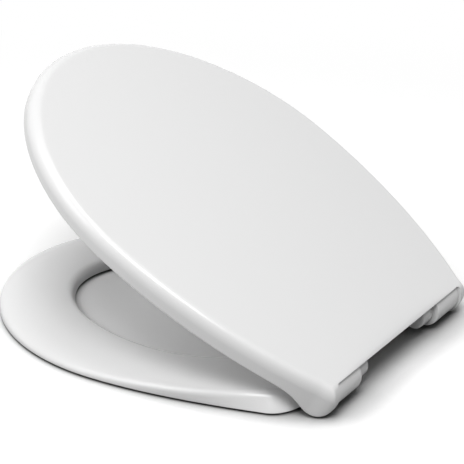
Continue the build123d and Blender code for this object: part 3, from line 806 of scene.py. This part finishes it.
def finish(name, base, scale, roughness, spread, bump, metallic=0.0, coat=0.0):
    """A material of one colour whose gloss and surface vary faintly through the shared group."""
    material = bpy.data.materials.new(name)
    material.use_nodes = True
    nodes, links = material.node_tree.nodes, material.node_tree.links
    shader = nodes["Principled BSDF"]
    shader.inputs["Base Color"].default_value = (*base, 1)
    shader.inputs["Metallic"].default_value = metallic
    shader.inputs["Coat Weight"].default_value = coat
    shader.inputs["Coat Roughness"].default_value = COAT_ROUGHNESS
    ripple = nodes.new("ShaderNodeGroup")
    ripple.node_tree = bpy.data.node_groups.get("faint_ripple") or ripple_group()
    ripple.inputs["Scale"].default_value = scale
    ripple.inputs["Base roughness"].default_value = roughness
    ripple.inputs["Spread"].default_value = spread
    dent = nodes.new("ShaderNodeBump")
    dent.inputs["Strength"].default_value = bump
    dent.inputs["Distance"].default_value = RIPPLE_DEPTH
    links.new(ripple.outputs["Roughness"], shader.inputs["Roughness"])
    links.new(ripple.outputs["Height"], dent.inputs["Height"])
    links.new(dent.outputs["Normal"], shader.inputs["Normal"])
    return material


def white_moulding(colours):
    """Thick white moulding compound: an even, soft gloss under a thin clear skin."""
    base = colours.white_moulding
    return finish("white_moulding", base, scale=30, roughness=0.40, spread=0.05, bump=0.02, coat=0.12)


def mount_plastic(colours):
    """White engineering plastic, without a clear skin."""
    return finish("mount_plastic", colours.mount_plastic, scale=60, roughness=0.4, spread=0.06, bump=0.03)


def damper_plastic(colours):
    """Grey matt plastic."""
    return finish("damper_plastic", colours.damper_plastic, scale=120, roughness=0.55, spread=0.1, bump=0.08)


def rotor_plastic(colours):
    """Pale bearing plastic."""
    return finish("rotor_plastic", colours.rotor_plastic, scale=120, roughness=0.45, spread=0.1, bump=0.05)


def grip_rubber(colours):
    """Dark matt rubber."""
    return finish("grip_rubber", colours.grip_rubber, scale=200, roughness=0.75, spread=0.15, bump=0.15)


def buffer_rubber(colours):
    """Pale soft rubber."""
    return finish("buffer_rubber", colours.buffer_rubber, scale=150, roughness=0.65, spread=0.12, bump=0.1)


def pin_steel(colours):
    """Turned steel."""
    base = colours.pin_steel
    return finish("pin_steel", base, scale=300, roughness=0.3, spread=0.15, bump=0.05, metallic=1.0)


FINISHES = {
    maker.__name__: maker
    for maker in (
        white_moulding,
        mount_plastic,
        damper_plastic,
        rotor_plastic,
        grip_rubber,
        buffer_rubber,
        pin_steel,
    )
}


def dress(piece, slot):
    """Gives a piece the finish of one of the record's material slots."""
    made = bpy.data.materials.get(slot) or FINISHES[slot](bpy.context.scene.seat_finishes)
    piece.data.materials.clear()
    piece.data.materials.append(made)


# Stage


def seen_rays(tree):
    """Output that is 1 for what the camera sees, also in reflections and through clear pieces, or else 0."""
    ray = tree.nodes.new("ShaderNodeLightPath").outputs
    mirrored = math_node(tree, "MAXIMUM", ray["Is Glossy Ray"], ray["Is Transmission Ray"])
    return math_node(tree, "MAXIMUM", ray["Is Camera Ray"], mirrored)


def mix_node(tree, factor, first, second):
    """Result of a Mix Shader node between two shaders."""
    node = tree.nodes.new("ShaderNodeMixShader")
    for socket, value in zip(node.inputs, (factor, first, second)):
        tree.links.new(value, socket)
    return node.outputs[0]


def floor_material(studio, colours):
    """Pale floor that looks white where it is fully lit, and keeps its shadows.

    The camera and reflections see a paler floor than the one that lights the seat, with painted shade darkening
    its colour close to the seat. Away from the seat, where the lamps don't reach, it runs over into a plain white.
    """
    material = bpy.data.materials.new("studio_floor")
    material.use_nodes = True
    tree = material.node_tree
    nodes, links = tree.nodes, tree.links
    nodes.remove(nodes["Principled BSDF"])
    lights = nodes.new("ShaderNodeBsdfDiffuse")
    lights.inputs["Color"].default_value = (*colours.floor, 1)
    looks = nodes.new("ShaderNodeBsdfDiffuse")
    # Painted shade: ambient occlusion darkens the seen floor colour where the seat is near
    near = nodes.new("ShaderNodeAmbientOcclusion")
    near.inputs["Distance"].default_value = colours.floor_shade
    near.inputs["Color"].default_value = (*[colours.floor_seen] * 3, 1)
    links.new(near.outputs["Color"], looks.inputs["Color"])
    place = nodes.new("ShaderNodeTexCoord")
    away = nodes.new("ShaderNodeVectorMath")
    away.operation = "LENGTH"
    links.new(place.outputs["Object"], away.inputs[0])
    far = nodes.new("ShaderNodeMapRange")
    far.interpolation_type = "SMOOTHSTEP"
    far.inputs["From Min"].default_value = studio.floor_near
    far.inputs["From Max"].default_value = studio.floor_far
    links.new(away.outputs["Value"], far.inputs["Value"])
    white = nodes.new("ShaderNodeEmission")
    seen = mix_node(tree, far.outputs["Result"], looks.outputs[0], white.outputs[0])
    surface = mix_node(tree, seen_rays(tree), lights.outputs[0], seen)
    links.new(surface, nodes["Material Output"].inputs["Surface"])
    return material


def make_floor(studio, colours):
    """A flat floor under the seat."""
    corner = np.array([[-1, -1, 0], [1, -1, 0], [1, 1, 0], [-1, 1, 0]]) * studio.floor_size / 2
    mesh = bpy.data.meshes.new("floor")
    mesh.from_pydata(corner, [], [(0, 1, 2, 3)])
    floor = bpy.data.objects.new("floor", mesh)
    bpy.context.scene.collection.objects.link(floor)
    mesh.materials.append(floor_material(studio, colours))


def towards(azimuth, elevation):
    """Unit vector from the seat at an angle from its front towards +X, and at a height above the horizon."""
    level = cos(elevation)
    return Vector((sin(azimuth) * level, -cos(azimuth) * level, sin(elevation)))


def put(data, place, way):
    """Object that stands at a place and faces back against the given way."""
    thing = bpy.data.objects.new(data.name, data)
    thing.location = place
    thing.rotation_mode = "QUATERNION"
    thing.rotation_quaternion = (-way).to_track_quat("-Z", "Y")
    bpy.context.scene.collection.objects.link(thing)
    return thing


def make_lamps(studio):
    """Square area lamps round the seat, each facing its middle."""
    for name, (azimuth, elevation) in LAMPS.items():
        data = bpy.data.lights.new(name, "AREA")
        data.energy = getattr(studio, name)
        data.shape = "SQUARE"
        data.size = studio.lamp_size
        way = towards(radians(azimuth), radians(elevation))
        put(data, studio.lamp_distance * way, way)


def make_world(studio):
    """Even light from all round, which looks white itself, to the camera and in reflections."""
    world = bpy.data.worlds.new("studio")
    world.use_nodes = True
    nodes, links = world.node_tree.nodes, world.node_tree.links
    sky = nodes["Background"]
    sky.inputs["Color"].default_value = (1, 1, 1, 1)
    strength = nodes.new("ShaderNodeMapRange")
    strength.inputs["To Min"].default_value = studio.dome
    links.new(seen_rays(world.node_tree), strength.inputs["Value"])
    links.new(strength.outputs["Result"], sky.inputs["Strength"])
    bpy.context.scene.world = world


def make_camera(studio):
    """Camera at the photograph's viewing angle."""
    back = towards(studio.azimuth, studio.elevation)
    data = bpy.data.cameras.new("camera")
    data.lens = studio.lens
    bpy.context.scene.camera = put(data, Vector(studio.aim) + studio.distance * back, back)


# Operators and panel


class SEAT_OT_lid(Operator):
    """Build the lid's moulding"""

    bl_idname = "toilet_seat.lid"
    bl_label = "Lid"

    def execute(self, context):
        piece = make_lid(context.scene.seat_lid)
        dress(piece, SLOT_OF_NODE["lid"])
        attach(piece, "lid")
        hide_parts("lid")
        return {"FINISHED"}


class SEAT_OT_ring(Operator):
    """Build the seat ring's moulding"""

    bl_idname = "toilet_seat.ring"
    bl_label = "Ring"

    def execute(self, context):
        piece = make_ring(context.scene.seat_ring)
        dress(piece, SLOT_OF_NODE["seat_ring"])
        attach(piece, "ring")
        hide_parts("seat_ring")
        return {"FINISHED"}


class SEAT_OT_mounts(Operator):
    """Build the two hinge mounts"""

    bl_idname = "toilet_seat.mounts"
    bl_label = "Mounts"

    def execute(self, context):
        for side, node in ((1, "hinge_mount_right"), (-1, "hinge_mount_left")):
            piece = make_mount(context.scene.seat_mount, side)
            dress(piece, SLOT_OF_NODE[node])
            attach(piece, "hinge_mounts")
            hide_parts(node)
        return {"FINISHED"}


class SEAT_OT_fittings(Operator):
    """Give the small fittings their finishes"""

    bl_idname = "toilet_seat.fittings"
    bl_label = "Fittings"

    def execute(self, context):
        # The nodes that a new piece stands for are hidden by now
        for name, node in frame["nodes"].items():
            if not node.hide_render:
                dress(node, SLOT_OF_NODE[name])
        return {"FINISHED"}


class SEAT_OT_stage(Operator):
    """Set up floor, lamps, surroundings and camera"""

    bl_idname = "toilet_seat.stage"
    bl_label = "Stage"

    def execute(self, context):
        studio = context.scene.seat_studio
        make_floor(studio, context.scene.seat_finishes)
        make_world(studio)
        make_lamps(studio)
        make_camera(studio)
        context.scene.view_settings.view_transform = "Standard"
        return {"FINISHED"}


class SEAT_PT_panel(Panel):
    """Lists the pieces and their sizes"""

    bl_idname = "SEAT_PT_panel"
    bl_label = "Toilet Seat"
    bl_space_type = "VIEW_3D"
    bl_region_type = "UI"
    bl_category = "Toilet Seat"

    def draw(self, context):
        layout = self.layout
        for operator in OPERATORS:
            layout.operator(operator.bl_idname)
        for group in GROUPS:
            box = layout.box()
            box.label(text=group.replace("_", " ").capitalize())
            for name in GROUPS[group].__annotations__:
                box.prop(getattr(context.scene, group), name)


OPERATORS = (SEAT_OT_lid, SEAT_OT_ring, SEAT_OT_mounts, SEAT_OT_fittings, SEAT_OT_stage)
GROUPS = {
    "seat_lid": LidSizes,
    "seat_ring": RingSizes,
    "seat_mount": MountSizes,
    "seat_finishes": Finishes,
    "seat_studio": Studio,
}


def register():
    """Registers the groups of sizes on the scene, the operators and the panel."""
    for group, kind in GROUPS.items():
        bpy.utils.register_class(kind)
        setattr(bpy.types.Scene, group, PointerProperty(type=kind))
    for kind in OPERATORS:
        bpy.utils.register_class(kind)
    bpy.utils.register_class(SEAT_PT_panel)


def unregister():
    """Takes back what register does, in the opposite order."""
    bpy.utils.unregister_class(SEAT_PT_panel)
    for kind in reversed(OPERATORS):
        bpy.utils.unregister_class(kind)
    for group, kind in reversed(GROUPS.items()):
        delattr(bpy.types.Scene, group)
        bpy.utils.unregister_class(kind)


def main():
    """Builds every piece and the stage."""
    register()
    bpy.ops.toilet_seat.lid()
    bpy.ops.toilet_seat.ring()
    bpy.ops.toilet_seat.mounts()
    bpy.ops.toilet_seat.fittings()
    bpy.ops.toilet_seat.stage()


if __name__ == "__main__":
    main()
